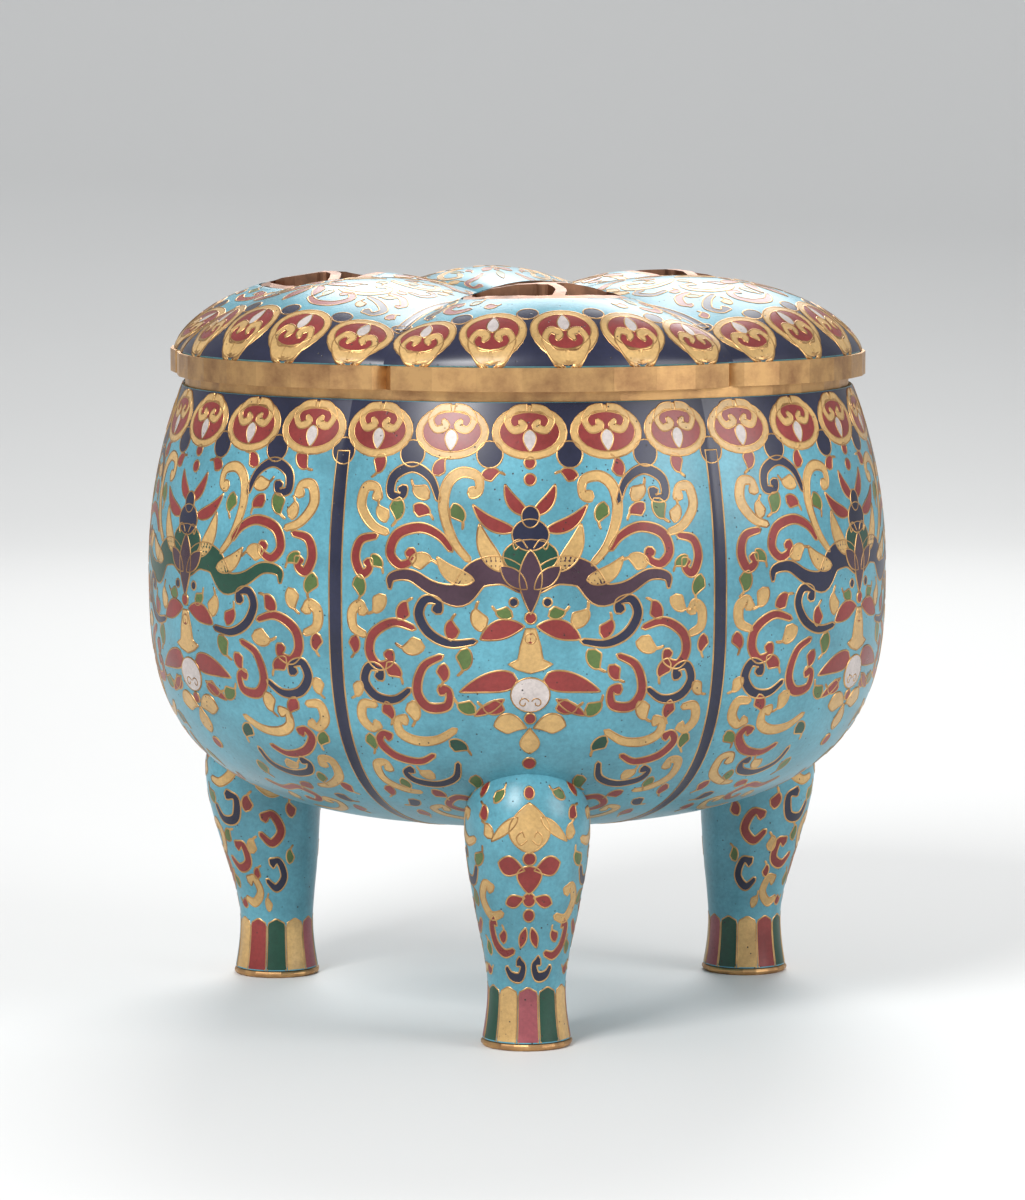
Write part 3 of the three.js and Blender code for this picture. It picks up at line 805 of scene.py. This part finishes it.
def cut(obj, cutters):
    """Takes the cutters out of the object for good, and removes them."""
    for cutter in cutters:
        change = obj.modifiers.new("cut", "BOOLEAN")
        change.object = cutter
        change.operation = "DIFFERENCE"
        change.solver = "EXACT"
    graph = bpy.context.evaluated_depsgraph_get()
    mesh = bpy.data.meshes.new_from_object(obj.evaluated_get(graph))
    obj.modifiers.clear()
    obj.data = mesh
    for cutter in cutters:
        bpy.data.objects.remove(cutter)


def make_dome():
    edge = np.linspace(0, 4, 14) ** 1.6 / 4**0.6
    inwards = np.concatenate([edge, np.linspace(4.6, DOME_RADIUS, 52)])
    rows = [on_dome(AROUND, v) for v in inwards[::-1]]
    split = len(rows) - 1
    rows += [on_dome(AROUND, v, WALL) for v in inwards]
    made = grid_mesh("lid_dome_enamel", rows, [ENAMELS["turquoise"], INSIDE], split)
    cut(made, opening_cutters())
    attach(made, "lid")
    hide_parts("lid_dome")


def make_leg(side, turn):
    surface = on_leg(turn)
    heights = np.concatenate([np.linspace(SOLE_TOP, 44, 44), np.linspace(44.6, 50, 14)])
    rows = [surface(ROUND_LEG, np.full_like(ROUND_LEG, z)) for z in heights]
    made = grid_mesh(f"leg_{side}_enamel", rows, [ENAMELS["turquoise"]])
    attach(made, "burner")
    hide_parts(f"leg_{side}")


# Each lamp: its name, its place, its size and its power
LAMPS = [
    ("key", (-0.45, -0.75, 0.75), 0.35, 9.0),
    ("fill", (0.8, -0.5, 0.45), 0.5, 4.0),
    ("back", (0.1, 0.8, 0.7), 0.5, 5.0),
]
LAMP_AIM = Vector((0, 0, 0.07))
# The floor's outline, in metres: level, then bent up into a backdrop
FLOOR_FRONT = -3.0
FLOOR_BACK = 0.9
FLOOR_BEND = 0.7
BACKDROP_TOP = 3.0
FLOOR_HALF_WIDTH = 4.0


def backdrop():
    """A pale floor that bends up behind the object."""
    sweep = [(FLOOR_FRONT, 0.0), (FLOOR_BACK, 0.0)]
    for a in np.linspace(0.1, math.pi / 2, 15):
        sweep.append((FLOOR_BACK + FLOOR_BEND * math.sin(a), FLOOR_BEND - FLOOR_BEND * math.cos(a)))
    sweep.append((FLOOR_BACK + FLOOR_BEND, BACKDROP_TOP))
    corners = [(x, y, z) for y, z in sweep for x in (-FLOOR_HALF_WIDTH, FLOOR_HALF_WIDTH)]
    faces = [(2 * i, 2 * i + 1, 2 * i + 3, 2 * i + 2) for i in range(len(sweep) - 1)]
    mesh = bpy.data.meshes.new("floor")
    mesh.from_pydata(corners, [], faces)
    mesh.polygons.foreach_set("use_smooth", [True] * len(mesh.polygons))
    floor = bpy.data.objects.new("floor", mesh)
    bpy.context.scene.collection.objects.link(floor)
    pale, _, shader = new_material("pale_floor")
    shader.inputs["Base Color"].default_value = (0.72, 0.72, 0.71, 1)
    shader.inputs["Roughness"].default_value = 0.6
    mesh.materials.append(pale)


def studio():
    """The air's even light and three soft lamps."""
    scene = bpy.context.scene
    scene.view_settings.view_transform = "Standard"
    world = bpy.data.worlds.new("studio_air")
    scene.world = world
    world.use_nodes = True
    air = world.node_tree.nodes["Background"]
    air.inputs["Color"].default_value = (0.9, 0.92, 0.95, 1)
    air.inputs["Strength"].default_value = 0.6
    for name, place, size, power in LAMPS:
        light = bpy.data.lights.new(name, "AREA")
        light.size = size
        light.energy = power
        lamp = bpy.data.objects.new(name, light)
        lamp.location = place
        lamp.rotation_euler = (LAMP_AIM - Vector(place)).to_track_quat("-Z", "Y").to_euler()
        scene.collection.objects.link(lamp)


# The camera stands almost a metre off, a little above the lid, as in the photograph. Millimetres, but for
# the turn and the sensor.
CAMERA_YAW = math.radians(2.1)
CAMERA_DISTANCE = 953
CAMERA_HEIGHT = 166.7
AIM_HEIGHT = 70.85
AIM_ASIDE = -0.6
PICTURE_HEIGHT = 213.5
SENSOR = 36


def camera():
    data = bpy.data.cameras.new("camera")
    x = -math.sin(CAMERA_YAW) * CAMERA_DISTANCE
    y = -math.cos(CAMERA_YAW) * CAMERA_DISTANCE
    eye = Vector((x, y, CAMERA_HEIGHT)) * MM
    aim = Vector((AIM_ASIDE, 0, AIM_HEIGHT)) * MM
    made = bpy.data.objects.new("camera", data)
    made.location = eye
    made.rotation_euler = (aim - eye).to_track_quat("-Z", "Y").to_euler()
    data.sensor_fit = "VERTICAL"
    data.sensor_height = SENSOR
    data.sensor_width = SENSOR
    data.lens = SENSOR * (aim - eye).length / (PICTURE_HEIGHT * MM)
    data.clip_start = 0.01
    bpy.context.scene.collection.objects.link(made)
    bpy.context.scene.camera = made


camera()
studio()
backdrop()
make_bowl()
make_dome()
draw_bowl().piece("bowl_cloisons", "burner")
draw_lid().piece("lid_cloisons", "lid")
LEGS = {"front": 0, "rear_right": 2 * math.pi / 3, "rear_left": -2 * math.pi / 3}
for leg_side, leg_turn in LEGS.items():
    make_leg(leg_side, leg_turn)
    draw_leg(leg_turn, random.Random(5)).piece(f"leg_{leg_side}_cloisons", "burner")
for cad_name, cad_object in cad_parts.items():
    cad_object.data.materials.clear()
    cad_object.data.materials.append(COPPER if cad_name.startswith("grille") else GILT)
